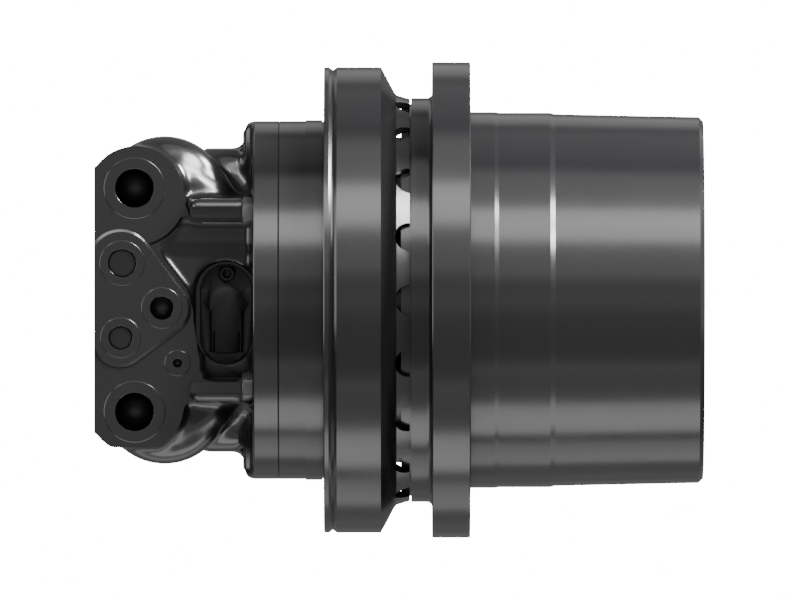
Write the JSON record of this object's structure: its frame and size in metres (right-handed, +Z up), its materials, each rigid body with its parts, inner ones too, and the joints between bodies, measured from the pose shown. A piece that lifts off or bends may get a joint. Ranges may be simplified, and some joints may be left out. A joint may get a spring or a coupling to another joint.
{
  "type": "hydraulic piston motor track drive",
  "caption": "Compact track drive: axial piston motor with ported cover in a stationary flanged hub, and a planetary gear drum with sprocket flange.",
  "frame": {"origin": "on the axis of rotation, in the mounting face of the frame flange", "axes": "+X along the axis towards the drum's closed end, main ports facing -Y, +Z up"},
  "size_m": [0.4878, 0.3804, 0.3803],
  "materials": {
    "housing_paint": "black semi-gloss paint on iron castings",
    "drum_paint": "black semi-gloss paint on a turned drum",
    "bolt_black": "black oxide steel screws",
    "plug_plastic": "dark moulded plugs",
    "sensor_plastic": "black glass-filled nylon",
    "seal_rubber": "black nitrile rubber",
    "ground_steel": "ground and polished steel",
    "gear_steel": "case-hardened gear steel",
    "cast_iron": "bare machined cast iron",
    "bronze": "bearing bronze",
    "friction_lining": "sintered friction lining",
    "spring_steel": "oil-tempered spring steel"
  },
  "bodies": {
    "housing": {"port_cover": "housing_paint", "cover_bolts": "bolt_black", "cover_seal": "seal_rubber", "upper_port_plug": "plug_plastic", "lower_port_plug": "plug_plastic", "speed_sensor": "sensor_plastic", "sensor_screw": "bolt_black", "spool_plug": "bolt_black", "spool_springs": "spring_steel", "frame_hub": "housing_paint", "valve_plate": "bronze", "rear_shaft_bearing": "ground_steel", "swash_plate": "cast_iron", "front_shaft_bearing": "ground_steel", "shaft_seal": "seal_rubber", "brake_steel_discs": "ground_steel", "brake_springs": "spring_steel", "inner_bearing_rings": "ground_steel", "bearing_nut": "ground_steel", "hub_seal_ring": "ground_steel", "hub_toric_ring": "seal_rubber", "second_carrier": "cast_iron", "second_carrier_screws": "bolt_black", "second_pin_clips": "spring_steel"},
    "drum": {"gear_drum": "drum_paint", "ring_gear": "gear_steel", "outer_bearing_rings": "ground_steel", "drum_seal_ring": "ground_steel", "drum_toric_ring": "seal_rubber", "end_cover": "drum_paint", "end_cover_seal": "seal_rubber", "end_cover_ring": "spring_steel", "fill_plugs": "bolt_black", "thrust_button": "ground_steel"},
    "inboard_balls": {"inboard_ball_set": "ground_steel"},
    "outboard_balls": {"outboard_ball_set": "ground_steel"},
    "second_planet_1": {"second_planet_1": "gear_steel"},
    "second_planet_2": {"second_planet_2": "gear_steel"},
    "second_planet_3": {"second_planet_3": "gear_steel"},
    "second_planet_4": {"second_planet_4": "gear_steel"},
    "first_carrier": {"first_carrier": "cast_iron", "second_sun": "gear_steel", "first_planet_pins": "ground_steel"},
    "first_planet_1": {"first_planet_1": "gear_steel"},
    "first_planet_2": {"first_planet_2": "gear_steel"},
    "first_planet_3": {"first_planet_3": "gear_steel"},
    "motor_rotor": {"motor_shaft": "ground_steel", "speed_ring": "gear_steel", "cylinder_block": "gear_steel", "pistons": "ground_steel", "slippers": "bronze", "retainer_plate": "ground_steel", "ball_guide": "ground_steel", "block_spring": "spring_steel", "brake_friction_discs": "friction_lining", "first_sun_shaft": "gear_steel"},
    "brake_piston": {"brake_piston": "cast_iron", "brake_piston_seals": "seal_rubber"},
    "spool": {"spool": "ground_steel"}
  },
  "joints": [
    {"name": "drum_rotation", "type": "hinge", "parent": "housing", "child": "drum", "pos_m": [0, 0, 0], "axis": [1, 0, 0], "continuous": true},
    {"name": "inboard_balls_orbit", "type": "hinge", "parent": "housing", "child": "inboard_balls", "pos_m": [0, 0, 0], "axis": [1, 0, 0], "continuous": true},
    {"name": "outboard_balls_orbit", "type": "hinge", "parent": "housing", "child": "outboard_balls", "pos_m": [0, 0, 0], "axis": [1, 0, 0], "continuous": true},
    {"name": "second_planet_1_spin", "type": "hinge", "parent": "housing", "child": "second_planet_1", "pos_m": [0, 0.08, 0], "axis": [1, 0, 0], "continuous": true},
    {"name": "second_planet_2_spin", "type": "hinge", "parent": "housing", "child": "second_planet_2", "pos_m": [0, 0, 0.08], "axis": [1, 0, 0], "continuous": true},
    {"name": "second_planet_3_spin", "type": "hinge", "parent": "housing", "child": "second_planet_3", "pos_m": [0, -0.08, 0], "axis": [1, 0, 0], "continuous": true},
    {"name": "second_planet_4_spin", "type": "hinge", "parent": "housing", "child": "second_planet_4", "pos_m": [0, 0, -0.08], "axis": [1, 0, 0], "continuous": true},
    {"name": "first_carrier_rotation", "type": "hinge", "parent": "housing", "child": "first_carrier", "pos_m": [0, 0, 0], "axis": [1, 0, 0], "continuous": true},
    {"name": "first_planet_1_spin", "type": "hinge", "parent": "first_carrier", "child": "first_planet_1", "pos_m": [0, 0.072, 0], "axis": [1, 0, 0], "continuous": true},
    {"name": "first_planet_2_spin", "type": "hinge", "parent": "first_carrier", "child": "first_planet_2", "pos_m": [0, -0.036, 0.06235], "axis": [1, 0, 0], "continuous": true},
    {"name": "first_planet_3_spin", "type": "hinge", "parent": "first_carrier", "child": "first_planet_3", "pos_m": [0, -0.036, -0.06235], "axis": [1, 0, 0], "continuous": true},
    {"name": "motor_rotation", "type": "hinge", "parent": "housing", "child": "motor_rotor", "pos_m": [0, 0, 0], "axis": [1, 0, 0], "continuous": true},
    {"name": "brake_release", "type": "slide", "parent": "housing", "child": "brake_piston", "axis": [-1, 0, 0], "range_m": [0, 0.002], "deforming": ["brake_springs"]},
    {"name": "spool_shift", "type": "slide", "parent": "housing", "child": "spool", "axis": [1, 0, 0], "range_m": [-0.006, 0.006], "deforming": ["spool_springs"]}
  ],
  "couplings": [
    {"joint": "inboard_balls_orbit", "follows": "drum_rotation", "ratio": 0.53},
    {"joint": "outboard_balls_orbit", "follows": "drum_rotation", "ratio": 0.53},
    {"joint": "second_planet_1_spin", "follows": "drum_rotation", "ratio": 3},
    {"joint": "second_planet_2_spin", "follows": "drum_rotation", "ratio": 3},
    {"joint": "second_planet_3_spin", "follows": "drum_rotation", "ratio": 3},
    {"joint": "second_planet_4_spin", "follows": "drum_rotation", "ratio": 3},
    {"joint": "first_carrier_rotation", "follows": "drum_rotation", "ratio": -3},
    {"joint": "first_planet_1_spin", "follows": "drum_rotation", "ratio": 10},
    {"joint": "first_planet_2_spin", "follows": "drum_rotation", "ratio": 10},
    {"joint": "first_planet_3_spin", "follows": "drum_rotation", "ratio": 10},
    {"joint": "motor_rotation", "follows": "drum_rotation", "ratio": -23}
  ]
}
